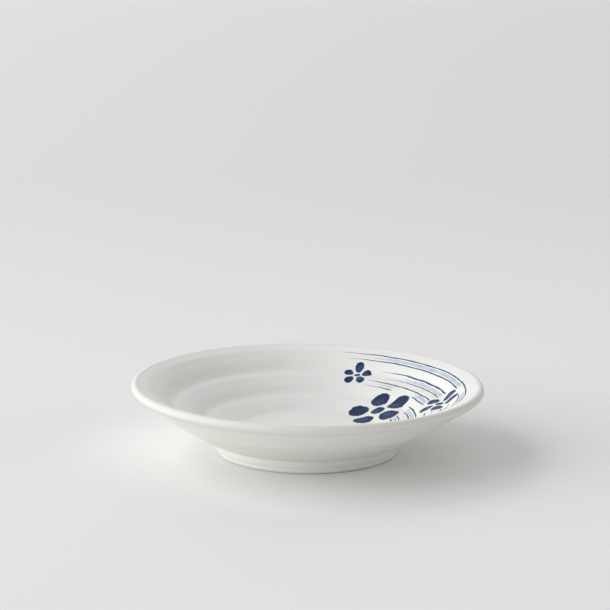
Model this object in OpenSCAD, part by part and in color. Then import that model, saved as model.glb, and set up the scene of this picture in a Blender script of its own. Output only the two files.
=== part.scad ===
// Soy sauce dish: a small turned porcelain saucer on a foot ring, painted in
// cobalt under a clear glaze. It is one fired piece, modelled as its real layers:
// the clay body, the brushwork on it, and the two coats of glaze, which the bare
// standing edge of the foot keeps apart.
// Millimetres, +Z up. The origin is the middle of the foot, on the table.

/* [Dish] */
// Diameter over the rim, glaze included
rim_d = 100; // [88:1:120]
// Height from the table to the top of the rim, glaze included
height = 20; // [17:0.2:26]
// Radius of the rounded lip, glaze included
lip_r = 1.25; // [0.9:0.05:1.6]
// Thickness of the clay floor at its centre
floor_t = 3.2; // [2.4:0.1:4]
// Radius of the level middle of the floor
well_r = 17; // [12:0.5:22]
// How late the inside wall rises, where 1 is a straight cone
inner_flare = 1.5; // [1.2:0.05:1.8]
// How late the outside wall rises, where 1 is a straight cone
outer_flare = 1.24; // [1.1:0.02:1.4]

/* [Throwing rings] */
// Distance from the lip to the first step that the potter's finger left, and from step to step
ring_pitch = 9.5; // [7:0.1:12]
// Height of the swell between two steps inside, near the rim
ring_depth = 1; // [0:0.05:1.2]
// Depth of the fainter hollows outside
outer_ring_depth = 0.3; // [0:0.05:0.4]
// Distance over which the hollows outside fade out, short of the crease
ring_fade = 5; // [3:0.5:7]

/* [Foot] */
// Diameter over the standing edge of the foot ring
foot_d = 52.5; // [46:0.5:58]
// Height of the clay foot ring, up to the crease under the wall
foot_h = 4.4; // [3.6:0.1:5]
// Width of the foot ring where it stands
foot_w = 3.4; // [2.6:0.1:5]
// How much the ring widens on each side, from its standing edge up
foot_taper = 0.4; // [0:0.1:1]
// Fillet in the crease and in the corner of the recess
crease_r = 0.8; // [0.5:0.1:0.9]
// Rounding of the outer edge of the foot ring
outer_edge_r = 1.4; // [0.8:0.1:1.5]
// Rounding of its inner edge
inner_edge_r = 0.5; // [0.3:0.1:0.6]
// Height of the recess inside the foot ring
recess_h = 2.6; // [2.5:0.1:3.2]

/* [Glaze] */
// Thickness of the clear glaze
glaze_t = 0.25; // [0.15:0.05:0.35]
// Height of the band wiped clean on the outside of the foot ring, above the table
bare_h = 1.7; // [1.6:0.1:1.8]
// Height of the band wiped clean on its inside
recess_bare_h = 0.8; // [0.7:0.1:1]

/* [Ripples] */
// Thickness of the cobalt pigment under the glaze
pigment_t = 0.08; // [0.05:0.01:0.1]
// Width of a brush line
line_w = 0.5; // [0.3:0.02:0.6]
// Bare porcelain left between two brush marks
brush_gap = 0.2; // [0.1:0.02:0.3]
// Distance from the lip in to the outermost ripple
ripple_inset = 3.6; // [2:0.2:8]
// Distance from one pair of ripple lines to the next
ripple_pitch = 4.7; // [3.6:0.1:5.4]
// Distance between the two lines of a pair
ripple_pair = 2; // [1.6:0.1:2.4]
// Pairs of ripple lines
ripple_pairs = 5; // [1:1:6]
// Direction of the middle of the ripples, anticlockwise from +X
ripple_turn = 16; // [-180:1:180]
// Angle that the outermost ripple covers
ripple_span = 104; // [40:1:180]

/* [Blossoms] */
// Diameter of the large blossom by the floor
large_blossom_d = 19; // [10:0.5:20]
// Distance of its middle from the axis
large_blossom_r = 24.5; // [18:0.5:27]
// Direction of the large blossom, anticlockwise from +X
large_blossom_turn = 34; // [-180:1:180]
// Diameter of the middle blossom, up the wall
middle_blossom_d = 12; // [7:0.5:13]
// Diameter of the small blossom, up the wall
small_blossom_d = 9; // [6:0.5:11]
// Distance of both their middles from the axis
wall_blossom_r = 37.5; // [35:0.5:39]
// Angle between the large blossom and each of the other two
blossom_step = 33; // [30:1:60]

/* [Hidden] */

clay = "#f3f1ec";
clear_glaze = [0.93, 0.96, 0.97, 0.3];
cobalt = "#2b3c6b";
pale_cobalt = "#b9cbe0";

// Steps along each stretch of the turned section
floor_steps = 40;
wall_steps = 26;
lip_steps = 12;
fillet_steps = 5;
turn_fn = 96;
end_fn = 24;
petal_fn = 48;
heart_fn = 32;
wedge_steps = 4;

// The middles of the rounded places in the section
lip_c = [rim_d / 2 - lip_r, height - lip_r];
clay_lip_r = lip_r - glaze_t;
floor_z = recess_h + floor_t;
foot_r = foot_d / 2;
foot_in_r = foot_r - foot_w;
crease_c = [foot_r + foot_taper + crease_r, foot_h - crease_r];
recess_c = [foot_in_r - foot_taper - crease_r, recess_h - crease_r];

// Throwing rings: a swell between each two steps, 0 in a step and 1 half way to the next. It is
// sharp in the step, soft on the shoulder, and straight over the last quarter into the lip.
step_sharpness = PI / 4 - 1 / 2;
function smooth(a, b, x) = let (t = min(1, max(0, (x - a) / (b - a)))) t * t * (3 - 2 * t);
function ring_wave(from_lip) = let (a = 360 * from_lip / ring_pitch) a < 90
    ? PI * from_lip / ring_pitch
    : (1 - cos(a) + step_sharpness * (1 - cos(2 * a))) / 2;

// The walls run into the lip at these angles, found by repeating the tangent rule
tangent_passes = 12;
first_angle = 30;
function inner_angle(a = first_angle, n = tangent_passes) = n == 0 ? a : inner_angle(
    atan(inner_flare * (lip_c.y + clay_lip_r * cos(a) - floor_z)
        / (lip_c.x - clay_lip_r * sin(a) - well_r) - PI * ring_depth / ring_pitch), n - 1);
function outer_angle(a = first_angle, n = tangent_passes) = n == 0 ? a : outer_angle(
    atan(outer_flare * (lip_c.y - clay_lip_r * cos(a) - foot_h)
        / (lip_c.x + clay_lip_r * sin(a) - crease_c.x) - PI * outer_ring_depth / ring_pitch), n - 1);
lip_in_angle = inner_angle();
lip_out_angle = outer_angle();
lip_in = lip_c + clay_lip_r * [-sin(lip_in_angle), cos(lip_in_angle)];
lip_out = lip_c + clay_lip_r * [sin(lip_out_angle), -cos(lip_out_angle)];

// Height of the clay's inside and outside at a radius. The swells grow from the middle out to the lip.
function inner_z(r) = floor_z
    + ring_depth * ring_wave(lip_in.x - r) * smooth(ring_pitch / 2, lip_in.x, r)
    + (lip_in.y - floor_z) * pow(max(0, r - well_r) / (lip_in.x - well_r), inner_flare);
function outer_z(r) = foot_h
    + outer_ring_depth * ring_wave(lip_out.x - r) * smooth(crease_c.x, crease_c.x + ring_fade, r)
    + (lip_out.y - foot_h) * pow((r - crease_c.x) / (lip_out.x - crease_c.x), outer_flare);

function polar(r, a) = r * [cos(a), sin(a)];
function arc(c, r, from, to, steps) = [for (i = [0:steps]) c + polar(r, from + (to - from) * i / steps)];
function without_ends(path) = [for (i = [1:len(path) - 2]) path[i]];
function backwards(path) = [for (i = [len(path) - 1:-1:0]) path[i]];

// The glazed side of the section, from the middle of the floor over the lip to the bare edge
inside = [for (i = [0:floor_steps]) let (r = lip_in.x * i / floor_steps) [r, inner_z(r)]];
lip = without_ends(arc(lip_c, clay_lip_r, 90 + lip_in_angle, lip_out_angle - 90, lip_steps));
outside = [for (i = [0:wall_steps - 1])
    let (r = lip_out.x + (crease_c.x - lip_out.x) * i / wall_steps) [r, outer_z(r)]];
crease = arc(crease_c, crease_r, 90, 180, fillet_steps);
bare_share = (bare_h - outer_edge_r) / (crease_c.y - outer_edge_r);
bare_edge = [foot_r + foot_taper * bare_share, bare_h];
glazed = concat(inside, lip, outside, crease, [bare_edge]);

// The standing edge, and the recess from its own bare edge to the axis
standing_edge = concat(
    arc([foot_r - outer_edge_r, outer_edge_r], outer_edge_r, 0, -90, fillet_steps),
    arc([foot_in_r + inner_edge_r, inner_edge_r], inner_edge_r, -90, -180, fillet_steps));
recess_share = (recess_bare_h - inner_edge_r) / (recess_c.y - inner_edge_r);
recess_bare_edge = [foot_in_r - foot_taper * recess_share, recess_bare_h];
recess = concat([recess_bare_edge], arc(recess_c, crease_r, 0, 90, fillet_steps), [[0, recess_h]]);

// A path moved to its left by t; a point on the axis stays on it
function left_of(path, i) = let (d = path[min(len(path) - 1, i + 1)] - path[max(0, i - 1)])
    [-d.y, d.x] / norm(d);
function beside(path, t) = [for (i = [0:len(path) - 1])
    let (p = path[i] + t * left_of(path, i)) [path[i].x == 0 ? 0 : p.x, p.y]];

module turned(points) rotate_extrude($fn = turn_fn) polygon(points);

// A coat of thickness t on the side of the section that the path follows
module coat(path, t) turned(concat(path, backwards(beside(path, t))));

module porcelain_body() color(clay) turned(concat(glazed, standing_edge, recess));

module glaze_coat() color(clear_glaze) difference() {
    coat(glazed, glaze_t);
    laid(glaze_t) {
        ripple_line_marks();
        ripple_wash_marks();
        blossom_marks();
    }
}

module base_glaze() color(clear_glaze) coat(recess, glaze_t);

// Flat marks laid on the inside of the clay as a layer of pigment.
// A cutter for them starts some way under the layer, so that it cuts right through the face it lies on.
module laid(under = 0) intersection() {
    turned(concat(beside(inside, -under), backwards(beside(inside, pigment_t))));
    linear_extrude(height) children();
}

// A stroke of the brush along a circle about the axis, parted round the blossoms.
// The brush rested at both ends, which are round and a little wider than the stroke.
end_share = 1.15;
module stroke(r, w, mid, span) difference() {
    union() {
        intersection() {
            difference() {
                circle(r + w / 2, $fn = turn_fn);
                circle(r - w / 2, $fn = turn_fn);
            }
            polygon(concat([[0, 0]], arc([0, 0], rim_d, mid - span / 2, mid + span / 2, wedge_steps)));
        }
        for (a = [mid - span / 2, mid + span / 2])
            translate(polar(r, a)) circle(d = w * end_share, $fn = end_fn);
    }
    for (b = blossoms) if (clearing(b, r, w) > 0) translate(b[1]) circle(clearing(b, r, w), $fn = turn_fn);
}

// Radius kept bare round a blossom where it meets a stroke, or 0 where it misses the stroke.
// It goes right through the stroke, so that it never only nicks its side.
function clearing(b, r, w) = let (bare = b[0] / 2 + 2 * brush_gap, off = abs(norm(b[1]) - r))
    off - w / 2 < bare ? max(bare, off + w / 2 + brush_gap) : 0;

// Ripples: pairs of lines drawn while the dish turned on the wheel, with a pale wash between
// the two lines of a pair. Pairs nearer the middle are shorter, and take turns to lead.
span_step = 0.13;
wash_share = 0.86;
stagger = 7;
outer_ripple_r = lip_in.x - ripple_inset;
function pair_r(j) = outer_ripple_r - ripple_pitch * j;
function pair_mid(j) = ripple_turn + (j % 2 == 0 ? stagger : -stagger);
function pair_span(j) = ripple_span * (1 - span_step * j);

module ripple_line_marks() for (j = [0:ripple_pairs - 1]) {
    stroke(pair_r(j), line_w, pair_mid(j) + stagger / 4, pair_span(j));
    stroke(pair_r(j) - ripple_pair, line_w, pair_mid(j) - stagger / 4, pair_span(j));
}

module ripple_wash_marks() for (j = [0:ripple_pairs - 1])
    stroke(pair_r(j) - ripple_pair / 2, ripple_pair - line_w - 2 * brush_gap,
        pair_mid(j), pair_span(j) * wash_share);

// Blossoms float on the water, and the ripples part round them.
// Each is its diameter, the place of its middle and how far it is turned.
blossoms = [
    [large_blossom_d, polar(large_blossom_r, large_blossom_turn), 10],
    [middle_blossom_d, polar(wall_blossom_r, large_blossom_turn - blossom_step), 40],
    [small_blossom_d, polar(wall_blossom_r, large_blossom_turn + blossom_step), 0]];

// A plum blossom: five round dabs of the brush about a small one
petals = 5;
heart_share = 0.12;
module blossom(d) {
    petal_at = (d + brush_gap) / 2 / (1 + sin(180 / petals));
    petal_r = petal_at * sin(180 / petals) - brush_gap / 2;
    for (i = [0:petals - 1]) translate(polar(petal_at, 360 / petals * i)) circle(petal_r, $fn = petal_fn);
    circle(d * heart_share, $fn = heart_fn);
}

module blossom_marks() for (b = blossoms) translate(b[1]) rotate(b[2]) blossom(b[0]);

module ripple_lines() color(cobalt) laid() ripple_line_marks();
module ripple_wash() color(pale_cobalt) laid() ripple_wash_marks();
module plum_blossoms() color(cobalt) laid() blossom_marks();

porcelain_body();
glaze_coat();
base_glaze();
ripple_lines();
ripple_wash();
plum_blossoms();
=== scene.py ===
# %% [markdown]
# # A painted soy sauce dish
# A small porcelain dish is turned on a wheel, painted in cobalt and dipped in clear glaze.
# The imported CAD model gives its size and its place. This lesson makes the surfaces that are
# seen: the glazed dish as one fine turned form, the bare edge that it stands on, and the
# brushwork, which follows the curve of the inside.

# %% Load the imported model
import math

import bpy
from mathutils import Euler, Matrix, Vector


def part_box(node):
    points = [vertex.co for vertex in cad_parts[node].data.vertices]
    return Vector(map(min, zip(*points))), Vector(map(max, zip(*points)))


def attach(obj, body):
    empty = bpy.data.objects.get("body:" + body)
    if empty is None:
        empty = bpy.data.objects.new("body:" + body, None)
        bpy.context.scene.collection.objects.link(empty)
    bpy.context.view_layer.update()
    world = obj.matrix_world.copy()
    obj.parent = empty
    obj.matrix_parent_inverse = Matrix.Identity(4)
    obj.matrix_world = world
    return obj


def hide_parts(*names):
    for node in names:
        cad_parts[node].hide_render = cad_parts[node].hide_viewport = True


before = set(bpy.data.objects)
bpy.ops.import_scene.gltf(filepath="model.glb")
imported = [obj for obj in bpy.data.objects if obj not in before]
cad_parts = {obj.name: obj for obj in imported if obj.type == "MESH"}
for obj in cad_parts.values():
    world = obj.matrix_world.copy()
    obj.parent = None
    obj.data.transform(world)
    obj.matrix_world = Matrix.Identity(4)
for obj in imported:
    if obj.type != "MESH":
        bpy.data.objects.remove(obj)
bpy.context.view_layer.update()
mm = 0.001

# %% [markdown]
# ## The camera
# The photograph was taken from a little above the table, with a long lens. A camera can be
# nudged by eye until the view fits, but a rule is easier to check. Here a point in the middle
# of the dish and the pixel where it shows fix the view: the camera stands square to that
# point, then turns until the point falls on the pixel. No lens shift is used, because it would
# slide the other views too.

# %% Place the camera
photo_px = 610
focal_px = 2454
sensor_mm = 36
camera_reach = 0.7
camera_height_angle = math.radians(14.56)
camera_roll = math.radians(0.2)
aim_point = Vector((0, 0, 10.2 * mm))
aim_px = (307.7, 415.2)

lens = bpy.data.cameras.new("photo_camera")
lens.sensor_width = sensor_mm
lens.lens = sensor_mm * focal_px / photo_px
camera = bpy.data.objects.new("photo_camera", lens)
bpy.context.collection.objects.link(camera)
bpy.context.scene.camera = camera

away = Vector((0, -math.cos(camera_height_angle), math.sin(camera_height_angle)))
look_up = math.atan((aim_px[1] - photo_px / 2) / focal_px)
look_left = math.atan((aim_px[0] - photo_px / 2) / focal_px)
camera.location = aim_point + camera_reach * away
camera.rotation_mode = "QUATERNION"
camera.rotation_quaternion = (
    (-away).to_track_quat("-Z", "Y") @ Euler((look_up, look_left, camera_roll)).to_quaternion())
print("lens in mm:", round(lens.lens, 1))

# %% [markdown]
# ## The table
# The dish stands on a pale table that runs back out of sight and looks a little greyer further
# away. A photographer might sweep a sheet of paper up behind the dish. One flat face is enough
# here, because the camera looks down and never sees the table's end, and a gradient in its
# material gives the slow change of grey: painted shade, darker away from the viewer, in place of
# light that falls off with distance.

# %% Add nodes and mix colours
def feed(tree, socket, value):
    """Gives an input another node's output, or a plain value."""
    if isinstance(value, bpy.types.NodeSocket):
        tree.links.new(value, socket)
    else:
        socket.default_value = value


def add_node(tree, kind, feeds=None, **settings):
    """Adds a node, sets it up, and feeds its inputs."""
    made = tree.nodes.new(kind)
    for name, value in settings.items():
        setattr(made, name, value)
    for key, value in (feeds or {}).items():
        feed(tree, made.inputs[key], value)
    return made


def mix(tree, share, first, second):
    """One colour turning into another, on the sockets that a Mix node keeps for colour."""
    return add_node(tree, "ShaderNodeMix", {0: share, 6: first, 7: second}, data_type="RGBA").outputs[2]


# %% Make the table
table_half = 6
table_near = (0.88, 0.88, 0.88, 1)
# The far colour is painted shade: the table darkens away from the viewer in place of light that falls off.
table_far_shade = (0.80, 0.80, 0.80, 1)
table_fade = 0.5
table_fade_start = 0.03
fade_heading = math.radians(-90)
table_roughness = 0.9
table_sheen = 0.1

table_mesh = bpy.data.meshes.new("table")
corners = [(-table_half, -table_half, 0), (table_half, -table_half, 0),
           (table_half, table_half, 0), (-table_half, table_half, 0)]
table_mesh.from_pydata(corners, [], [(0, 1, 2, 3)])
table = bpy.data.objects.new("table", table_mesh)
bpy.context.collection.objects.link(table)

table_paint = bpy.data.materials.new("pale_table")
table_paint.use_nodes = True
table_tree = table_paint.node_tree
table_place = add_node(table_tree, "ShaderNodeTexCoord").outputs["Object"]
fade_place = add_node(table_tree, "ShaderNodeMapping", {
    "Vector": table_place,
    "Location": (-table_fade_start / table_fade, 0, 0),
    "Rotation": (0, 0, fade_heading),
    "Scale": (1 / table_fade, 1 / table_fade, 1)}).outputs["Vector"]
# How much painted shade a place on the table gets, growing away from the viewer.
painted_shade_share = add_node(
    table_tree, "ShaderNodeTexGradient", {"Vector": fade_place}, gradient_type="EASING").outputs["Fac"]
table_shader = table_tree.nodes["Principled BSDF"]
feed(table_tree, table_shader.inputs["Base Color"], mix(table_tree, painted_shade_share, table_near, table_far_shade))
table_shader.inputs["Roughness"].default_value = table_roughness
table_shader.inputs["Specular IOR Level"].default_value = table_sheen
table_mesh.materials.append(table_paint)
print("table in metres:", 2 * table_half, "square")

# %% [markdown]
# ## The light
# A broad window to the left gives most of the light. A smaller, brighter pane higher up and
# further back gives the shadow its soft edge, to the right and towards the viewer. White cards
# low on both sides, the wall behind and the ceiling throw some of the light back, and a dim
# room all round fills what is left. A picture of a real room could light the dish too, but flat
# lamps can be set one by one. Their powers are such that a colour renders about as it is
# written.

# %% Hang the lamps and light the room
room_grey = 0.207
lamps = {
    "window": {"place": (-2.5, -0.1, 1.45), "size": (4.2, 2.8), "power": 74},
    "bright_pane": {"place": (-1.49, 1.0, 1.74), "size": (0.62, 0.62), "power": 3.8},
    "left_card": {"place": (-0.8, -1.0, 0.25), "size": (1.3, 0.5), "power": 2.7},
    "low_card": {"place": (-1.7, -0.5, 0.35), "size": (1.2, 0.6), "power": 3.7},
    "right_card": {"place": (1.6, -0.3, 0.6), "size": (1.6, 1.0), "power": 5.9},
    "back_wall": {"place": (0, 2.6, 1.2), "size": (3.0, 2.0), "power": 21.4},
    "ceiling": {"place": (0, 0, 2.6), "size": (3.0, 3.0), "power": 11},
}

scene = bpy.context.scene
scene.view_settings.view_transform = "Standard"

for lamp_name, values in lamps.items():
    light = bpy.data.lights.new(lamp_name, "AREA")
    light.shape = "RECTANGLE"
    light.size, light.size_y = values["size"]
    light.energy = values["power"]
    lamp = bpy.data.objects.new(lamp_name, light)
    bpy.context.collection.objects.link(lamp)
    lamp.location = values["place"]
    lamp.rotation_euler = (aim_point - lamp.location).to_track_quat("-Z", "Y").to_euler()

room = bpy.data.worlds.new("pale_room")
room.use_nodes = True
room.node_tree.nodes["Background"].inputs["Color"].default_value = (room_grey, room_grey, room_grey, 1)
scene.world = room
print("lamps:", ", ".join(lamps))

# %% [markdown]
# ## The turned section
# Everything round on the dish comes from one section: a level floor, a wall that flares, a
# rounded lip, a wall back down to a crease, and a foot ring with a recess inside. It could be
# drawn by hand as a curve. Written as functions of the radius, it keeps the potter's measures
# in sight, and a wall can be made to run into the lip without a kink. The rim's size comes from
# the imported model. The inside keeps soft steps where a finger pressed the turning clay.

# %% Set the potter's measures
glaze_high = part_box("glaze_coat")[1]
rim_r = glaze_high.x
rim_z = glaze_high.z
lip_r = 1.25 * mm
floor_z = 5.8 * mm
well_r = 17 * mm
inner_flare = 1.5
outer_flare = 1.24
ring_pitch = 9.5 * mm
ring_depth = 1.0 * mm
outer_ring_depth = 0.3 * mm
ring_fade = 5 * mm
foot_r = 26.25 * mm
foot_h = 4.4 * mm
foot_w = 3.4 * mm
foot_taper = 0.4 * mm
crease_r = 0.8 * mm
outer_edge_r = 1.4 * mm
inner_edge_r = 0.5 * mm
recess_h = 2.6 * mm
glaze_t = 0.25 * mm
bare_h = 1.7 * mm
recess_bare_h = 0.8 * mm

lip_c = (rim_r - lip_r, rim_z - lip_r)
clay_lip_r = lip_r - glaze_t
crease_c = (foot_r + foot_taper + crease_r, foot_h - crease_r)
foot_in_r = foot_r - foot_w
recess_c = (foot_in_r - foot_taper - crease_r, recess_h - crease_r)
print("rim in mm:", round(2 * rim_r / mm, 2), "across,", round(rim_z / mm, 2), "high")

# %% Run both walls into the lip
first_guess = math.radians(30)
tangent_rounds = 12


def lip_angle(flare, swell, start_r, start_z, side):
    """The slope at which a wall from (start_r, start_z) meets the lip; side is 1 inside, -1 outside."""
    angle = first_guess
    for _ in range(tangent_rounds):
        rise = lip_c[1] + side * clay_lip_r * math.cos(angle) - start_z
        run = lip_c[0] - side * clay_lip_r * math.sin(angle) - start_r
        angle = math.atan(flare * rise / run - swell * math.pi / ring_pitch)
    return angle


in_angle = lip_angle(inner_flare, ring_depth, well_r, floor_z, 1)
out_angle = lip_angle(outer_flare, 0, crease_c[0], foot_h, -1)
lip_in = (lip_c[0] - clay_lip_r * math.sin(in_angle), lip_c[1] + clay_lip_r * math.cos(in_angle))
lip_out = (lip_c[0] + clay_lip_r * math.sin(out_angle), lip_c[1] - clay_lip_r * math.cos(out_angle))
print("lip slopes in degrees:", round(math.degrees(in_angle), 1), round(math.degrees(out_angle), 1))

# %% Write both walls as functions of the radius
# With this sharpness, the two rules for a swell meet at a quarter of the pitch.
step_sharpness = math.pi / 4 - 0.5


def smooth(low, high, x):
    """Rises from 0 at low to 1 at high, level at both ends."""
    t = min(1, max(0, (x - low) / (high - low)))
    return t * t * (3 - 2 * t)


def ring_wave(from_lip):
    """One swell between each two steps: 0 in a step, 1 half way to the next, and straight into the lip."""
    if from_lip < ring_pitch / 4:
        return math.pi * from_lip / ring_pitch
    a = math.tau * from_lip / ring_pitch
    return (1 - math.cos(a) + step_sharpness * (1 - math.cos(2 * a))) / 2


def inside_z(r):
    """Height of the clay's inside at a radius."""
    rise = (max(0, r - well_r) / (lip_in[0] - well_r)) ** inner_flare
    swell = ring_depth * ring_wave(lip_in[0] - r) * smooth(ring_pitch / 2, lip_in[0], r)
    return floor_z + swell + (lip_in[1] - floor_z) * rise


def outside_z(r):
    """Height of the clay's outside at a radius. Its hollows fade at the lip and at the crease."""
    rise = ((r - crease_c[0]) / (lip_out[0] - crease_c[0])) ** outer_flare
    fade = smooth(crease_c[0], crease_c[0] + ring_fade, r) * smooth(0, ring_pitch / 2, lip_out[0] - r)
    hollow = outer_ring_depth * ring_wave(lip_out[0] - r) * fade
    return foot_h + hollow + (lip_out[1] - foot_h) * rise


print("clay heights in mm: floor", round(inside_z(0) / mm, 2), "lip", round(inside_z(lip_in[0]) / mm, 2))

# %% [markdown]
# ## The section as paths
# The clay's glazed side is one path from the middle of the floor, over the lip, down to the
# bare edge of the foot. The glaze is the same path moved outwards by its thickness, thinning
# to a feather where it was wiped off the foot. A second path goes round the standing edge and
# through the recess. A Solidify modifier with a vertex group could thicken the glaze too, but
# moving the path itself is shorter, and gives a closed section for the wheel.

# %% Tools for walking a section
def spaced(start, end, steps):
    """Evenly spaced values from start to end, both included."""
    return [start + (end - start) * i / steps for i in range(steps + 1)]


def arc(centre, radius, start, end, steps):
    """Points on a circle from one angle to another, in degrees."""
    angles = [math.radians(a) for a in spaced(start, end, steps)]
    return [(centre[0] + radius * math.cos(a), centre[1] + radius * math.sin(a)) for a in angles]


def beside(path, thickness):
    """The path moved to its left, by a thickness that may change from point to point."""
    moved = []
    for i, (r, z) in enumerate(path):
        before = path[max(0, i - 1)]
        after = path[min(len(path) - 1, i + 1)]
        run = after[0] - before[0]
        rise = after[1] - before[1]
        length = math.hypot(run, rise)
        moved_r = max(0, r - thickness[i] * rise / length) if r else 0
        moved.append((moved_r, z + thickness[i] * run / length))
    return moved


# %% Walk the section
floor_steps = 150
lip_steps = 20
wall_steps = 70
fillet_steps = 8
foot_steps = 8

inside = [(r, inside_z(r)) for r in spaced(0, lip_in[0], floor_steps)]
lip = arc(lip_c, clay_lip_r, 90 + math.degrees(in_angle), math.degrees(out_angle) - 90, lip_steps)[1:-1]
outside = [(r, outside_z(r)) for r in spaced(lip_out[0], crease_c[0], wall_steps)][:-1]
crease = arc(crease_c, crease_r, 90, 180, fillet_steps)
foot_top_r, foot_top_z = crease[-1]
bare_r = foot_r + foot_taper * (bare_h - outer_edge_r) / (crease_c[1] - outer_edge_r)
foot_side = list(zip(spaced(foot_top_r, bare_r, foot_steps), spaced(foot_top_z, bare_h, foot_steps)))[1:]
glazed_side = inside + lip + outside + crease + foot_side

standing_edge = (arc((foot_r - outer_edge_r, outer_edge_r), outer_edge_r, 0, -90, fillet_steps)
                 + arc((foot_in_r + inner_edge_r, inner_edge_r), inner_edge_r, -90, -180, fillet_steps))
recess_bare_share = (recess_bare_h - inner_edge_r) / (recess_c[1] - inner_edge_r)
recess_bare_r = foot_in_r - foot_taper * recess_bare_share
recess = ([(recess_bare_r, recess_bare_h)] + arc(recess_c, crease_r, 0, 90, fillet_steps)
          + [(r, recess_h) for r in spaced(recess_c[0], 0, fillet_steps)][1:])
print("points on the paths:", len(glazed_side), len(standing_edge), len(recess))

# %% Lay the glaze on the paths
feather_share = 0.1
feather_reach = 4 * glaze_t
hidden_stride = 4
clay_stride = 2


def coat_section(path):
    """A closed section of glaze on a path: a feather at its bare edge, and coarser where it is hidden."""
    bare_end = path[-1] if path[0][0] == 0 else path[0]
    reach = [math.dist(p, bare_end) for p in path]
    thickness = [glaze_t * (feather_share + (1 - feather_share) * smooth(0, feather_reach, d)) for d in reach]
    hidden = path[:1] + path[hidden_stride:-hidden_stride:hidden_stride] + path[-1:]
    return beside(path, thickness) + hidden[::-1]


glaze_section = coat_section(glazed_side)
base_section = coat_section(recess)
clay_section = glazed_side[:1] + glazed_side[1:-1:clay_stride] + glazed_side[-1:] + standing_edge + recess
print("points in the sections:", len(glaze_section), len(base_section), len(clay_section))

# %% [markdown]
# ## A wheel made of nodes
# A Screw modifier can turn a section, but a lathe is also a short rule, so Geometry Nodes turn
# the sections here, and one tree serves all three. A grid has one row for each point of the
# section and one column for each step round. Every grid point takes its radius and height from
# the section and its angle from its column. The rule also has room for what firing does: the
# rim leans a little to one side, and the lean fades out above the foot, which stays flat.

# %% Arithmetic with nodes
def calc(tree, operation, *values):
    """One step of arithmetic on sockets and numbers."""
    return add_node(tree, "ShaderNodeMath", dict(enumerate(values)), operation=operation).outputs[0]


def plus(tree, first, second):
    """A sum."""
    return calc(tree, "ADD", first, second)


def minus(tree, first, second):
    """A difference."""
    return calc(tree, "SUBTRACT", first, second)


def times(tree, first, second):
    """A product."""
    return calc(tree, "MULTIPLY", first, second)


def over(tree, first, second):
    """A quotient."""
    return calc(tree, "DIVIDE", first, second)


def line_up(tree, value, slope, start):
    """A straight rule: the value times a slope, on top of a start."""
    return calc(tree, "MULTIPLY_ADD", value, slope, start)


# %% Start, fill and end a geometry tree
def new_tree(name, inputs):
    """A geometry tree with named inputs; gives the tree, its input sockets and its output socket."""
    tree = bpy.data.node_groups.new(name, "GeometryNodeTree")
    tree.interface.new_socket("Geometry", in_out="OUTPUT", socket_type="NodeSocketGeometry")
    for label, kind in inputs.items():
        tree.interface.new_socket(label, in_out="INPUT", socket_type="NodeSocket" + kind)
    start = tree.nodes.new("NodeGroupInput")
    end = tree.nodes.new("NodeGroupOutput")
    return tree, start.outputs, end.inputs["Geometry"]


def grid_places(tree, rows, columns):
    """A grid mesh, with each point's row and column."""
    grid = add_node(tree, "GeometryNodeMeshGrid", {"Vertices X": rows, "Vertices Y": columns})
    index = add_node(tree, "GeometryNodeInputIndex").outputs[0]
    row = calc(tree, "FLOOR", over(tree, index, columns))
    column = minus(tree, index, times(tree, row, columns))
    return grid.outputs["Mesh"], row, column


def end_tree(tree, geometry, material, output):
    """The close of every tree: smooth shading, real geometry and its material."""
    shaded = add_node(tree, "GeometryNodeSetShadeSmooth", {"Geometry": geometry}).outputs[0]
    real = add_node(tree, "GeometryNodeRealizeInstances", {"Geometry": shaded}).outputs[0]
    dressed = add_node(tree, "GeometryNodeSetMaterial", {"Geometry": real, "Material": material}).outputs[0]
    tree.links.new(dressed, output)


# %% Run a geometry tree
def plain_mesh(maker):
    """What an object's modifiers make of it, as a mesh of its own."""
    depsgraph = bpy.context.evaluated_depsgraph_get()
    return bpy.data.meshes.new_from_object(
        maker.evaluated_get(depsgraph), preserve_all_data_layers=True, depsgraph=depsgraph)


def run_tree(name, tree, inputs):
    """Runs a tree and gives the result as a plain mesh object."""
    maker = bpy.data.objects.new(name + "_maker", bpy.data.meshes.new(name))
    bpy.context.collection.objects.link(maker)
    modifier = maker.modifiers.new("make", "NODES")
    modifier.node_group = tree
    for item in tree.interface.items_tree:
        if item.in_out == "INPUT" and item.name in inputs:
            modifier[item.identifier] = inputs[item.name]
    mesh = plain_mesh(maker)
    mesh.name = name
    bpy.data.objects.remove(maker)
    piece = bpy.data.objects.new(name, mesh)
    bpy.context.collection.objects.link(piece)
    return piece


# %% Build the wheel
weld = 0.001 * mm


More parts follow.
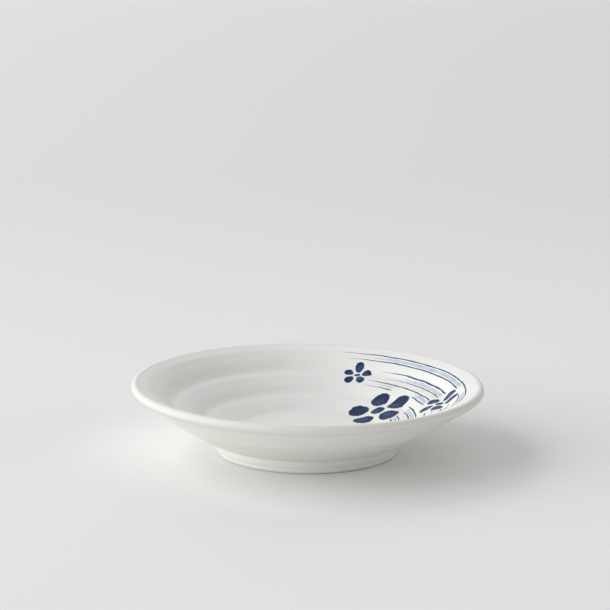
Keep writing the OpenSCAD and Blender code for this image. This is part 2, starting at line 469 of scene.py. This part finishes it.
def wheel_tree():
    """Turns the points of a section object about the axis."""
    tree, given, output = new_tree("potters_wheel", {
        "Section": "Object", "Steps Round": "Int", "Rim Lean": "Float",
        "Lean From": "Float", "Rim Radius": "Float", "Finish": "Material"})
    section = add_node(tree, "GeometryNodeObjectInfo", {"Object": given["Section"]}).outputs["Geometry"]
    count = add_node(tree, "GeometryNodeAttributeDomainSize", {"Geometry": section}).outputs["Point Count"]
    mesh, row, column = grid_places(tree, count, plus(tree, given["Steps Round"], 1))
    place = add_node(tree, "GeometryNodeInputPosition").outputs[0]
    point = add_node(tree, "GeometryNodeSampleIndex", {"Geometry": section, "Value": place, "Index": row},
                     data_type="FLOAT_VECTOR").outputs[0]
    reach = add_node(tree, "ShaderNodeSeparateXYZ", {0: point}).outputs
    angle = over(tree, times(tree, column, math.tau), given["Steps Round"])
    share = add_node(tree, "ShaderNodeMapRange", {
        "Value": reach["X"], "From Min": given["Lean From"], "From Max": given["Rim Radius"]}).outputs[0]
    drop = times(tree, given["Rim Lean"], times(tree, share, calc(tree, "COSINE", angle)))
    turned_place = add_node(tree, "ShaderNodeCombineXYZ", {
        "X": times(tree, reach["X"], calc(tree, "COSINE", angle)),
        "Y": times(tree, reach["X"], calc(tree, "SINE", angle)),
        "Z": minus(tree, reach["Z"], drop)}).outputs[0]
    turned = add_node(
        tree, "GeometryNodeSetPosition", {"Geometry": mesh, "Position": turned_place}).outputs[0]
    closed = add_node(tree, "GeometryNodeMergeByDistance", {"Geometry": turned, "Distance": weld}).outputs[0]
    end_tree(tree, closed, given["Finish"], output)
    return tree


wheel = wheel_tree()
print("nodes in the wheel:", len(wheel.nodes))

# %% [markdown]
# ## Porcelain and its glaze
# Fired porcelain is a dense white clay. The glaze over it is clear, satin and a touch warm,
# with faint clouds where it lies thicker. Its colour also holds painted light: a warmer white on
# the faces that look down is painted warm light from below, and a greyer lip is painted shade
# that tones down its bright highlight. Where the foot was wiped, the bare clay is dull and
# slightly grainy. One even white would look like plastic, and a picture of real glaze would fit
# only one shape. Noise at the scale of the real clouds, dimples and grain fits any.

# %% Tools for mixing finishes
def new_finish(name):
    """A material with its shader and the piece's own coordinates."""
    finish = bpy.data.materials.new(name)
    finish.use_nodes = True
    tree = finish.node_tree
    shader = tree.nodes["Principled BSDF"]
    place = add_node(tree, "ShaderNodeTexCoord").outputs["Object"]
    return finish, tree, shader, place


def noise(tree, place, scale, detail=2.0):
    """Soft noise between 0 and 1, with a scale in blotches per metre."""
    return add_node(tree, "ShaderNodeTexNoise",
                    {"Vector": place, "Scale": scale, "Detail": detail}).outputs["Fac"]


def ramp(tree, value, low, high):
    """0 below low, 1 above high."""
    return add_node(tree, "ShaderNodeMapRange", {"Value": value, "From Min": low, "From Max": high},
                    interpolation_type="SMOOTHSTEP").outputs[0]


def spread(tree, value, low, high):
    """Carries a number between 0 and 1 over to the range from low to high."""
    return add_node(tree, "ShaderNodeMapRange", {"Value": value, "To Min": low, "To Max": high}).outputs[0]


def vector_calc(tree, operation, first, second):
    """One step of arithmetic on positions; SCALE takes a number as its second value."""
    second_key = "Scale" if operation == "SCALE" else 1
    feeds = {0: first, second_key: second}
    return add_node(tree, "ShaderNodeVectorMath", feeds, operation=operation).outputs[0]


def reach_of(tree, position):
    """How far a position is from the origin."""
    return add_node(tree, "ShaderNodeVectorMath", {0: position}, operation="LENGTH").outputs["Value"]


def add_bump(tree, shader, height, strength, depth):
    """Lets a height show in the way that the surface catches light."""
    bump = add_node(tree, "ShaderNodeBump", {"Height": height, "Strength": strength, "Distance": depth})
    tree.links.new(bump.outputs[0], shader.inputs["Normal"])


# %% Mix the clear glaze
glaze_white = (0.87, 0.868, 0.845, 1)
cloud_white = (0.85, 0.85, 0.832, 1)
# Painted warm light from below, on the faces that look down.
warm_bounce_white = (0.87, 0.865, 0.815, 1)
# Painted shade on the lip, which tones down its bright highlight.
lip_shade_white = (0.80, 0.793, 0.752, 1)
cloud_scale = 45
cloud_band = (0.4, 0.75)
facing_up_band = (0.4, 0.85)
gloss_scale = 90
gloss_range = (0.46, 0.56)
dimple_scale = 160
dimple_strength = 0.08
dimple_depth = 0.4 * mm
glaze_sheen = 0.15


def glaze_colour(tree, place):
    """The white of the glaze: faint clouds inside, painted warm light on faces that look down, painted shade
    on the lip.
    """
    clouds = ramp(tree, noise(tree, place, cloud_scale), *cloud_band)
    faces = add_node(tree, "ShaderNodeNewGeometry").outputs["True Normal"]
    faces_up = ramp(tree, add_node(tree, "ShaderNodeSeparateXYZ", {0: faces}).outputs["Z"], *facing_up_band)
    # Faces that look down get the painted warm light instead of the clouded white.
    white = mix(tree, faces_up, warm_bounce_white, mix(tree, clouds, glaze_white, cloud_white))
    radius = reach_of(tree, vector_calc(tree, "MULTIPLY", place, (1, 1, 0)))
    # The lip gets the painted shade.
    return mix(tree, ramp(tree, radius, rim_r - 2 * lip_r, rim_r - lip_r), white, lip_shade_white)


def glaze_surface(tree, shader, place):
    """The glassy skin: smooth and very slightly uneven."""
    tree.links.new(spread(tree, noise(tree, place, gloss_scale), *gloss_range), shader.inputs["Roughness"])
    add_bump(tree, shader, noise(tree, place, dimple_scale), dimple_strength, dimple_depth)
    shader.inputs["Specular IOR Level"].default_value = glaze_sheen


def clear_glaze():
    """Clear glaze over white porcelain."""
    finish, tree, shader, place = new_finish("clear_glaze")
    tree.links.new(glaze_colour(tree, place), shader.inputs["Base Color"])
    glaze_surface(tree, shader, place)
    return finish


glaze_finish = clear_glaze()
print("mixed", glaze_finish.name, "from", len(glaze_finish.node_tree.nodes), "nodes")

# %% Mix the bare clay
clay_white = (0.87, 0.862, 0.835, 1)
clay_shade = (0.82, 0.808, 0.775, 1)
fine_detail = 3.0
grain_scale = 2600
grain_strength = 0.3
grain_depth = 0.1 * mm
stain_scale = 120
stain_band = (0.45, 0.7)
clay_roughness = 0.75


def bare_clay():
    """Unglazed porcelain: dull, with a fine grain."""
    finish, tree, shader, place = new_finish("bare_clay")
    stain = ramp(tree, noise(tree, place, stain_scale), *stain_band)
    tree.links.new(mix(tree, stain, clay_white, clay_shade), shader.inputs["Base Color"])
    add_bump(tree, shader, noise(tree, place, grain_scale, fine_detail), grain_strength, grain_depth)
    shader.inputs["Roughness"].default_value = clay_roughness
    return finish


clay_finish = bare_clay()
print("mixed", clay_finish.name, "from", len(clay_finish.node_tree.nodes), "nodes")

# %% [markdown]
# ## The three round pieces
# The clay body, the coat of glaze and the small pool of glaze under the foot are layers that
# meet along the bare edge. One mesh with two finishes would look much the same, but they are
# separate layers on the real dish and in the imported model, so each is turned from its own
# section. The sign of the volume tells whether a mesh is inside out.

# %% Turn the three round pieces
steps_round = 240
rim_lean = 0.5 * mm
lean_from = foot_r + 1 * mm
cm3_in_m3 = 1e6


def signed_volume(mesh):
    """The volume in a closed mesh, below zero where its faces point inwards."""
    volume = 0
    for face in mesh.polygons:
        first, *others = [mesh.vertices[i].co for i in face.vertices]
        for second, third in zip(others, others[1:]):
            volume += first.dot(second.cross(third)) / 6
    return volume


def turn(name, section, finish):
    """Turns a section on the wheel, with its faces pointing outwards."""
    section_mesh = bpy.data.meshes.new(name + "_section")
    section_mesh.from_pydata([(r, 0, z) for r, z in section], [], [])
    section_object = bpy.data.objects.new(name + "_section", section_mesh)
    piece = run_tree(name, wheel, {
        "Section": section_object, "Steps Round": steps_round, "Rim Lean": rim_lean,
        "Lean From": lean_from, "Rim Radius": rim_r, "Finish": finish})
    bpy.data.objects.remove(section_object)
    volume = signed_volume(piece.data)
    if volume < 0:
        piece.data.flip_normals()
    print(name, "faces:", len(piece.data.polygons), "volume in cm3:", round(abs(volume) * cm3_in_m3, 2))
    return piece


glaze_coat = turn("glazed_dish", glaze_section, glaze_finish)
base_glaze = turn("base_glaze_pool", base_section, glaze_finish)
clay_body = turn("porcelain_clay", clay_section, clay_finish)

# %% [markdown]
# ## Cobalt under the glaze
# Cobalt is brushed on as a thin wash of pigment and turns blue in the kiln. Where the brush
# is loaded it is almost navy, where it runs dry it is thin and greyish, and the edge of a
# stroke softens into the white. The glaze lies over it, so it shines as the white does. Two
# flat blues would look printed. Instead three numbers kept on the mesh steer the colour: how
# near the edge, how much ink, and a tone that differs from dab to dab and along a line.

# %% Mix the two blues
navy = (0.007, 0.024, 0.088, 1)
thin_navy = (0.07, 0.125, 0.31, 1)
wash_blue = (0.41, 0.5, 0.615, 1)
pale_wash = (0.68, 0.735, 0.785, 1)
cobalt_soft_from = 1.0
wash_soft_from = 0.8
soft_to = 1.1
ragged_edge = 0.3
ragged_scale = 1400
pooled_band = (0.1, 0.8)
pooled_gain = 0.3
pooled_start = 0.8
blotch_scale = 300
blotch_range = (0.45, 1.35)
faint_band = (0.0, 0.4)
deep_band = (0.25, 1.05)


def painted_glaze(name, thin, deep, soft_from):
    """Cobalt under clear glaze. It fades to white where there is little ink, and from soft_from outwards."""
    finish, tree, shader, place = new_finish(name)
    edge, ink, tone = [
        add_node(tree, "ShaderNodeAttribute", attribute_name=word).outputs["Fac"]
        for word in ("edge", "ink", "tone")]
    pooled = line_up(tree, ramp(tree, edge, *pooled_band), pooled_gain, pooled_start)
    ragged = line_up(tree, noise(tree, place, ragged_scale), ragged_edge, edge)
    feather = minus(tree, 1, ramp(tree, ragged, soft_from, soft_to))
    blotch = spread(tree, noise(tree, place, blotch_scale, fine_detail), *blotch_range)
    load = times(tree, times(tree, ink, pooled), times(tree, tone, blotch))
    load = times(tree, load, feather)
    faint = mix(tree, ramp(tree, load, *faint_band), glaze_white, thin)
    tree.links.new(mix(tree, ramp(tree, load, *deep_band), faint, deep), shader.inputs["Base Color"])
    glaze_surface(tree, shader, place)
    return finish


cobalt_finish = painted_glaze("brushed_cobalt", thin_navy, navy, cobalt_soft_from)
wash_finish = painted_glaze("pale_cobalt_wash", pale_wash, wash_blue, wash_soft_from)
print("mixed", cobalt_finish.name, "and", wash_finish.name)

# %% [markdown]
# ## Blossoms on the water
# Three plum blossoms float on the right of the dish. Each is five dabs of a full brush about a
# small one. A dab is narrower and paler towards the heart, where the brush lifts. They could be
# painted in the glaze's material, but each dab has a place and an edge of its own in the packed
# model, so it is a thin pad here too. Geometry Nodes place the dabs from three points that
# carry a size and a turn, roughen their edges a little as a hand does, and drop them straight
# down onto the dish.

# %% Say where the blossoms are
petals = 5
petal_gap = 0.2 * mm
heart_share = 0.12
blossoms = [
    {"width": 19 * mm, "reach": 24.5 * mm, "bearing": math.radians(34), "turned": math.radians(10)},
    {"width": 12 * mm, "reach": 37.5 * mm, "bearing": math.radians(1), "turned": math.radians(40)},
    {"width": 9 * mm, "reach": 37.5 * mm, "bearing": math.radians(67), "turned": math.radians(0)},
]

places_mesh = bpy.data.meshes.new("blossom_places")
places_mesh.from_pydata(
    [(b["reach"] * math.cos(b["bearing"]), b["reach"] * math.sin(b["bearing"]), 0) for b in blossoms], [], [])
for word in ("width", "turned"):
    kept = places_mesh.attributes.new(word, "FLOAT", "POINT")
    kept.data.foreach_set("value", [b[word] for b in blossoms])
blossom_places = bpy.data.objects.new("blossom_places", places_mesh)
print("blossoms across in mm:", [round(b["width"] / mm, 1) for b in blossoms])

# %% Nodes that lay marks on the dish
drop_height = 50 * mm


def store(tree, geometry, name, value, domain="POINT"):
    """Keeps a number on the mesh under a name, for the materials to read."""
    return add_node(tree, "GeometryNodeStoreNamedAttribute",
                    {"Geometry": geometry, "Name": name, "Value": value},
                    data_type="FLOAT", domain=domain).outputs[0]


def polar_place(tree, radius, angle):
    """A flat position from a radius and an angle."""
    return add_node(tree, "ShaderNodeCombineXYZ", {
        "X": times(tree, radius, calc(tree, "COSINE", angle)),
        "Y": times(tree, radius, calc(tree, "SINE", angle))}).outputs[0]


def lay_on_dish(tree, geometry, dish, lift):
    """Drops every point straight down onto the dish and lifts it a hair along the surface's normal."""
    surface = add_node(tree, "GeometryNodeObjectInfo", {"Object": dish}).outputs["Geometry"]
    place = add_node(tree, "GeometryNodeInputPosition").outputs[0]
    hit = add_node(tree, "GeometryNodeRaycast", {
        "Target Geometry": surface,
        "Source Position": vector_calc(tree, "ADD", place, (0, 0, drop_height)),
        "Ray Direction": (0, 0, -1), "Ray Length": drop_height}).outputs
    rise = vector_calc(tree, "SCALE", hit["Hit Normal"], lift)
    landed = vector_calc(tree, "ADD", hit["Hit Position"], rise)
    return add_node(tree, "GeometryNodeSetPosition", {"Geometry": geometry, "Position": landed}).outputs[0]


# %% Nodes that read the blossoms' places
def named_number(tree, word):
    """A number that was kept on a mesh under a name."""
    return add_node(tree, "GeometryNodeInputNamedAttribute", {"Name": word}, data_type="FLOAT").outputs[0]


def place_number(tree, places, word, index):
    """A number kept on one of the blossoms' places."""
    return add_node(tree, "GeometryNodeSampleIndex",
                    {"Geometry": places, "Value": named_number(tree, word), "Index": index},
                    data_type="FLOAT").outputs[0]


def place_middle(tree, places, index):
    """The position of one of the blossoms' places."""
    position = add_node(tree, "GeometryNodeInputPosition").outputs[0]
    return add_node(tree, "GeometryNodeSampleIndex",
                    {"Geometry": places, "Value": position, "Index": index},
                    data_type="FLOAT_VECTOR").outputs[0]


# %% Lay out the dabs
def dab_points(tree, given):
    """A point for each petal and heart, with the dab's radius and its heading."""
    places = add_node(tree, "GeometryNodeObjectInfo", {"Object": given["Places"]}).outputs["Geometry"]
    flowers = add_node(tree, "GeometryNodeAttributeDomainSize", {"Geometry": places}).outputs["Point Count"]
    index = add_node(tree, "GeometryNodeInputIndex").outputs[0]
    flower = calc(tree, "FLOOR", over(tree, index, petals + 1))
    dab = minus(tree, index, times(tree, flower, petals + 1))
    is_heart = calc(tree, "GREATER_THAN", dab, petals - 0.5)
    is_petal = minus(tree, 1, is_heart)
    width = place_number(tree, places, "width", flower)
    turned = place_number(tree, places, "turned", flower)
    half_turn = math.sin(math.pi / petals)
    petal_at = over(tree, plus(tree, width, given["Petal Gap"]), 2 * (1 + half_turn))
    petal_r = minus(tree, times(tree, petal_at, half_turn), times(tree, given["Petal Gap"], 0.5))
    heart_r = times(tree, width, given["Heart Share"])
    dab_r = plus(tree, times(tree, petal_r, is_petal), times(tree, heart_r, is_heart))
    heading = plus(tree, turned, times(tree, dab, math.tau / petals))
    spoke = polar_place(tree, times(tree, petal_at, is_petal), heading)
    points = add_node(tree, "GeometryNodePoints", {
        "Count": times(tree, flowers, petals + 1),
        "Position": vector_calc(tree, "ADD", place_middle(tree, places, flower), spoke)}).outputs[0]
    return points, dab_r, heading


# %% Shape one dab
dab_ink_slope = 0.2
dab_ink_middle = 0.95
disc_weld = 0.001


def dab_disc(tree, given):
    """A flat disc of radius 1, drawn in and paler on the side of the heart."""
    mesh, row, column = grid_places(tree, given["Rings"], plus(tree, given["Steps Round"], 1))
    reach = over(tree, row, minus(tree, given["Rings"], 1))
    around = over(tree, times(tree, column, math.tau), given["Steps Round"])
    round_place = add_node(tree, "ShaderNodeSeparateXYZ", {0: polar_place(tree, reach, around)}).outputs
    taper = line_up(tree, round_place["X"], given["Taper"], minus(tree, 1, given["Taper"]))
    drawn_place = add_node(tree, "ShaderNodeCombineXYZ", {
        "X": round_place["X"], "Y": times(tree, round_place["Y"], taper)}).outputs[0]
    disc = add_node(tree, "GeometryNodeSetPosition", {"Geometry": mesh, "Position": drawn_place}).outputs[0]
    disc = store(tree, disc, "edge", reach)
    disc = store(tree, disc, "ink", line_up(tree, round_place["X"], dab_ink_slope, dab_ink_middle))
    return add_node(tree, "GeometryNodeMergeByDistance", {"Geometry": disc, "Distance": disc_weld}).outputs[0]


# %% Join the dabs into blossoms
dab_tones = (0.85, 1.25)
waver_scale = 260
waver_detail = 1.0


def waver(tree, place, amount):
    """A small sideways wander of a position, as a hand makes."""
    field = add_node(tree, "ShaderNodeTexNoise", {
        "Vector": place, "Scale": waver_scale, "Detail": waver_detail}).outputs["Color"]
    centred = vector_calc(tree, "SUBTRACT", field, (0.5, 0.5, 0.5))
    return vector_calc(tree, "SCALE", centred, amount)


def blossom_tree():
    """Five petals and a heart at each place."""
    tree, given, output = new_tree("plum_blossoms", {
        "Places": "Object", "Petal Gap": "Float", "Heart Share": "Float", "Rings": "Int",
        "Steps Round": "Int", "Taper": "Float", "Waver": "Float", "Seed": "Int", "Dish": "Object",
        "Lift": "Float", "Pigment": "Material"})
    points, dab_r, heading = dab_points(tree, given)
    dabs = add_node(tree, "GeometryNodeInstanceOnPoints", {
        "Points": points, "Instance": dab_disc(tree, given), "Scale": dab_r,
        "Rotation": add_node(tree, "ShaderNodeCombineXYZ", {"Z": heading}).outputs[0]}).outputs[0]
    tone = add_node(tree, "FunctionNodeRandomValue",
                    {2: dab_tones[0], 3: dab_tones[1], "Seed": given["Seed"]}, data_type="FLOAT").outputs[1]
    dabs = store(tree, dabs, "tone", tone, "INSTANCE")
    flat = add_node(tree, "GeometryNodeRealizeInstances", {"Geometry": dabs}).outputs[0]
    place = add_node(tree, "GeometryNodeInputPosition").outputs[0]
    rough = add_node(tree, "GeometryNodeSetPosition", {
        "Geometry": flat, "Offset": waver(tree, place, given["Waver"])}).outputs[0]
    end_tree(tree, lay_on_dish(tree, rough, given["Dish"], given["Lift"]), given["Pigment"], output)
    return tree


blossom_nodes = blossom_tree()
print("nodes in the blossoms:", len(blossom_nodes.nodes))

# %% Paint the blossoms
pad_depth = 0.06 * mm
crisp_angle = math.radians(50)
line_lift = 0.03 * mm
dab_rings = 14
dab_steps_round = 48
dab_taper = 0.14
dab_waver = 0.8 * mm
dab_seed = 3


def thicken(piece):
    """Turns a painted skin into a thin closed pad that reaches down into the glaze, with crisp edges."""
    if sum(face.normal.z for face in piece.data.polygons) < 0:
        piece.data.flip_normals()
    pad = piece.modifiers.new("thickness", "SOLIDIFY")
    pad.thickness = pad_depth
    pad.offset = -1
    mesh = plain_mesh(piece)
    piece.modifiers.clear()
    piece.data = mesh
    mesh.set_sharp_from_angle(angle=crisp_angle)
    print(piece.name, "faces:", len(mesh.polygons))
    return piece


plum_blossoms = thicken(run_tree("cobalt_blossoms", blossom_nodes, {
    "Places": blossom_places, "Petal Gap": petal_gap, "Heart Share": heart_share, "Rings": dab_rings,
    "Steps Round": dab_steps_round, "Taper": dab_taper, "Waver": dab_waver, "Seed": dab_seed,
    "Dish": glaze_coat, "Lift": line_lift, "Pigment": cobalt_finish}))

# %% [markdown]
# ## Ripples round the blossoms
# The ripples are drawn while the dish turns slowly on the wheel, in pairs of thin lines with a
# pale wash between. Curves with a bevel could trace them one by one, but every stroke follows
# the same rule, so one tree draws them all: a grid holds a strip of points for each stroke,
# bent round the axis. The brush starts fine, presses down and lifts again, wavers slightly, and
# parts round the blossoms. The numbers for the colour are kept while the grid is whole, because
# taking out faces renumbers the points.

# %% Set out the strokes
def stroke_grid(tree, given):
    """A strip of points for each stroke, with a point's stroke and its place across and along it."""
    lanes = given["Steps Across"]
    steps = given["Steps Along"]
    strokes = times(tree, given["Pairs"], given["Lines In Pair"])
    mesh, row, column = grid_places(tree, times(tree, strokes, lanes), steps)
    stroke = calc(tree, "FLOOR", over(tree, row, lanes))
    lane = minus(tree, row, times(tree, stroke, lanes))
    across = minus(tree, over(tree, lane, minus(tree, lanes, 1)), 0.5)
    along = over(tree, column, minus(tree, steps, 1))
    return mesh, stroke, across, along


def stroke_course(tree, given, stroke, along):
    """A stroke's radius, and the angle at each place along it. Inner pairs are shorter."""
    pair = calc(tree, "FLOOR", over(tree, stroke, given["Lines In Pair"]))
    line = minus(tree, stroke, times(tree, pair, given["Lines In Pair"]))
    side = minus(tree, 1, times(tree, 2, calc(tree, "MODULO", pair, 2)))
    lead = times(tree, given["Lead"], minus(tree, 1, times(tree, 2, line)))
    middle = plus(tree, given["Middle"], plus(tree, lead, times(tree, side, given["Stagger"])))
    span = times(tree, given["Span"], minus(tree, 1, times(tree, given["Span Step"], pair)))
    angle = plus(tree, middle, times(tree, minus(tree, along, 0.5), span))
    radius = minus(tree, given["First Radius"], times(tree, pair, given["Pair Pitch"]))
    radius = minus(tree, radius, times(tree, line, given["Line Step"]))
    return radius, angle


# %% Move the brush as a hand does
pressed_by = 0.07
lifted_from = 0.8
tip_width = 0.3
wander_rate = 9
wander_shift = 17.3
wander_detail = 1.0
swell_rate = 22
swell_shift = 7.1
swell_detail = 2.0
swell_band = (0.2, 0.8)


def hand_noise(tree, stroke, along, rate, shift, detail):
    """A number that changes slowly along a stroke, and differs from stroke to stroke."""
    return add_node(tree, "ShaderNodeTexNoise", {
        "W": plus(tree, times(tree, along, rate), times(tree, stroke, shift)),
        "Scale": 1.0, "Detail": detail}, noise_dimensions="1D").outputs["Fac"]


def brush_press(tree, along):
    """How hard the brush presses: from 0 at the start to 1, and back to 0 at the end."""
    return times(tree, ramp(tree, along, 0.0, pressed_by),
                 minus(tree, 1, ramp(tree, along, lifted_from, 1.0)))


def brush_breadth(tree, given, press, swell):
    """The width of a stroke, from its press and its swell."""
    fullness = line_up(tree, ramp(tree, swell, *swell_band), given["Swell"], minus(tree, 1, given["Swell"]))
    fullness = times(tree, fullness, line_up(tree, press, 1 - tip_width, tip_width))
    return times(tree, given["Width"], fullness)


# %% Part the ripples round the blossoms
lane_tolerance = 0.1


def off_blossoms(tree, given):
    """How far a place on a stroke is outside the bare circles, which go right through a stroke or miss it."""
    places = add_node(tree, "GeometryNodeObjectInfo", {"Object": given["Places"]}).outputs["Geometry"]
    here = add_node(tree, "GeometryNodeInputPosition").outputs[0]
    stroke_r = named_number(tree, "stroke_radius")
    half_width = times(tree, given["Width"], 0.5)
    nearest = drop_height
    for flower in range(len(blossoms)):
        middle = place_middle(tree, places, flower)
        width = place_number(tree, places, "width", flower)
        bare = line_up(tree, width, 0.5, given["Clear Gap"])
        aside = calc(tree, "ABSOLUTE", minus(tree, reach_of(tree, middle), stroke_r))
        meets = calc(tree, "LESS_THAN", minus(tree, aside, half_width), bare)
        through = plus(tree, plus(tree, aside, half_width), times(tree, given["Clear Gap"], 0.5))
        clearing = times(tree, meets, calc(tree, "MAXIMUM", bare, through))
        distance = add_node(
            tree, "ShaderNodeVectorMath", {0: here, 1: middle}, operation="DISTANCE").outputs["Value"]
        nearest = calc(tree, "MINIMUM", nearest, minus(tree, distance, clearing))
    return nearest


def part_strips(tree, given, grid, off_blossom):
    """Takes out the faces between neighbouring strokes, and those in the bare circles."""
    index = add_node(tree, "GeometryNodeInputIndex").outputs[0]
    face_row = calc(tree, "FLOOR", over(tree, index, minus(tree, given["Steps Along"], 1)))
    lane = calc(tree, "MODULO", face_row, given["Steps Across"])
    last_lane = minus(tree, given["Steps Across"], 1)
    between = calc(tree, "COMPARE", lane, last_lane, lane_tolerance)
    cleared = calc(tree, "LESS_THAN", off_blossom, 0.0)
    return add_node(tree, "GeometryNodeDeleteGeometry", {
        "Geometry": grid, "Selection": calc(tree, "MAXIMUM", between, cleared)}, domain="FACE").outputs[0]


# %% Ink the strokes
tip_ink = 0.4
parted_ink = 0.5
parted_fade = 1.5 * mm
drying = -0.35
tone_gain = 0.7
tone_start = 0.75


def ink_strokes(tree, grid, across, along, press, swell, off_blossom):
    """Keeps the numbers for the colour: a stroke is paler at its tips and parted ends, and dries."""
    edge = calc(tree, "ABSOLUTE", times(tree, across, 2))
    clear_of_gap = ramp(tree, off_blossom, 0.0, parted_fade)
    ink = times(tree, line_up(tree, press, 1 - tip_ink, tip_ink),
                line_up(tree, clear_of_gap, 1 - parted_ink, parted_ink))
    kept = store(tree, grid, "edge", edge)
    kept = store(tree, kept, "ink", times(tree, ink, line_up(tree, along, drying, 1.0)))
    return store(tree, kept, "tone", line_up(tree, swell, tone_gain, tone_start))


# %% Join the strokes into ripples
def ripple_tree():
    """Strips along circles about the axis, staggered from pair to pair and parted round the blossoms."""
    tree, given, output = new_tree("brushed_ripples", {
        "Pairs": "Int", "Lines In Pair": "Int", "First Radius": "Float", "Pair Pitch": "Float",
        "Line Step": "Float", "Width": "Float", "Middle": "Float", "Stagger": "Float", "Lead": "Float",
        "Span": "Float", "Span Step": "Float", "Steps Along": "Int", "Steps Across": "Int",
        "Waver": "Float", "Swell": "Float", "Places": "Object", "Clear Gap": "Float", "Dish": "Object",
        "Lift": "Float", "Pigment": "Material"})
    mesh, stroke, across, along = stroke_grid(tree, given)
    stroke_r, angle = stroke_course(tree, given, stroke, along)
    press = brush_press(tree, along)
    wander = hand_noise(tree, stroke, along, wander_rate, wander_shift, wander_detail)
    swell = hand_noise(tree, stroke, along, swell_rate, swell_shift, swell_detail)
    drift = times(tree, minus(tree, wander, 0.5), given["Waver"])
    breadth = brush_breadth(tree, given, press, swell)
    radius = plus(tree, plus(tree, stroke_r, drift), times(tree, across, breadth))
    grid = add_node(tree, "GeometryNodeSetPosition", {
        "Geometry": store(tree, mesh, "stroke_radius", stroke_r),
        "Position": polar_place(tree, radius, angle)}).outputs[0]
    off_blossom = off_blossoms(tree, given)
    inked = ink_strokes(tree, grid, across, along, press, swell, off_blossom)
    strips = part_strips(tree, given, inked, off_blossom)
    end_tree(tree, lay_on_dish(tree, strips, given["Dish"], given["Lift"]), given["Pigment"], output)
    return tree


ripples = ripple_tree()
print("nodes in the ripples:", len(ripples.nodes))

# %% Paint the lines and the wash
line_w = 0.5 * mm
brush_gap = 0.2 * mm
wash_lift = 0.02 * mm
ripple_pairs = 5
ripple_inset = 3.6 * mm
ripple_pitch = 4.7 * mm
ripple_pair = 2.0 * mm
ripple_stagger = math.radians(7)
ripple_middle = math.radians(16)
ripple_span = math.radians(104)
ripple_span_step = 0.13
ripple_waver = 0.4 * mm
line_swell = 0.3
wash_swell = 0.2
wash_share = 0.86
outer_ripple_r = lip_in[0] - ripple_inset

all_strokes = {
    "Pairs": ripple_pairs, "Pair Pitch": ripple_pitch, "Line Step": ripple_pair,
    "Middle": ripple_middle, "Stagger": ripple_stagger, "Span Step": ripple_span_step,
    "Waver": ripple_waver, "Places": blossom_places, "Clear Gap": 2 * brush_gap, "Dish": glaze_coat}
line_strokes = {
    "Lines In Pair": 2, "First Radius": outer_ripple_r, "Width": line_w, "Swell": line_swell,
    "Lead": ripple_stagger / 4, "Span": ripple_span, "Steps Along": 260, "Steps Across": 4,
    "Lift": line_lift, "Pigment": cobalt_finish}
wash_strokes = {
    "Lines In Pair": 1, "First Radius": outer_ripple_r - ripple_pair / 2,
    "Width": ripple_pair - line_w - brush_gap, "Swell": wash_swell, "Lead": 0.0,
    "Span": ripple_span * wash_share, "Steps Along": 240, "Steps Across": 6,
    "Lift": wash_lift, "Pigment": wash_finish}
ripple_lines = thicken(run_tree("cobalt_ripples", ripples, all_strokes | line_strokes))
ripple_wash = thicken(run_tree("pale_ripples", ripples, all_strokes | wash_strokes))
bpy.data.objects.remove(blossom_places)

# %% [markdown]
# ## Onto the frame
# The imported model has a node for each layer of the dish. Every finished piece takes the place
# of its node, which is hidden, and rides on the one body, since nothing on a dish moves. The
# pieces could be joined into one mesh, but then no layer could be swapped or hidden by itself.

# %% Seat everything on the frame
layers = [
    (glaze_coat, "glaze_coat", "glaze"),
    (base_glaze, "base_glaze", "glaze"),
    (clay_body, "porcelain_body", "biscuit"),
    (plum_blossoms, "plum_blossoms", "cobalt"),
    (ripple_lines, "ripple_lines", "cobalt"),
    (ripple_wash, "ripple_wash", "pale_cobalt"),
]
for piece, node, slot in layers:
    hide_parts(node)
    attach(piece, "root")
    print(piece.name, "replaces", node)
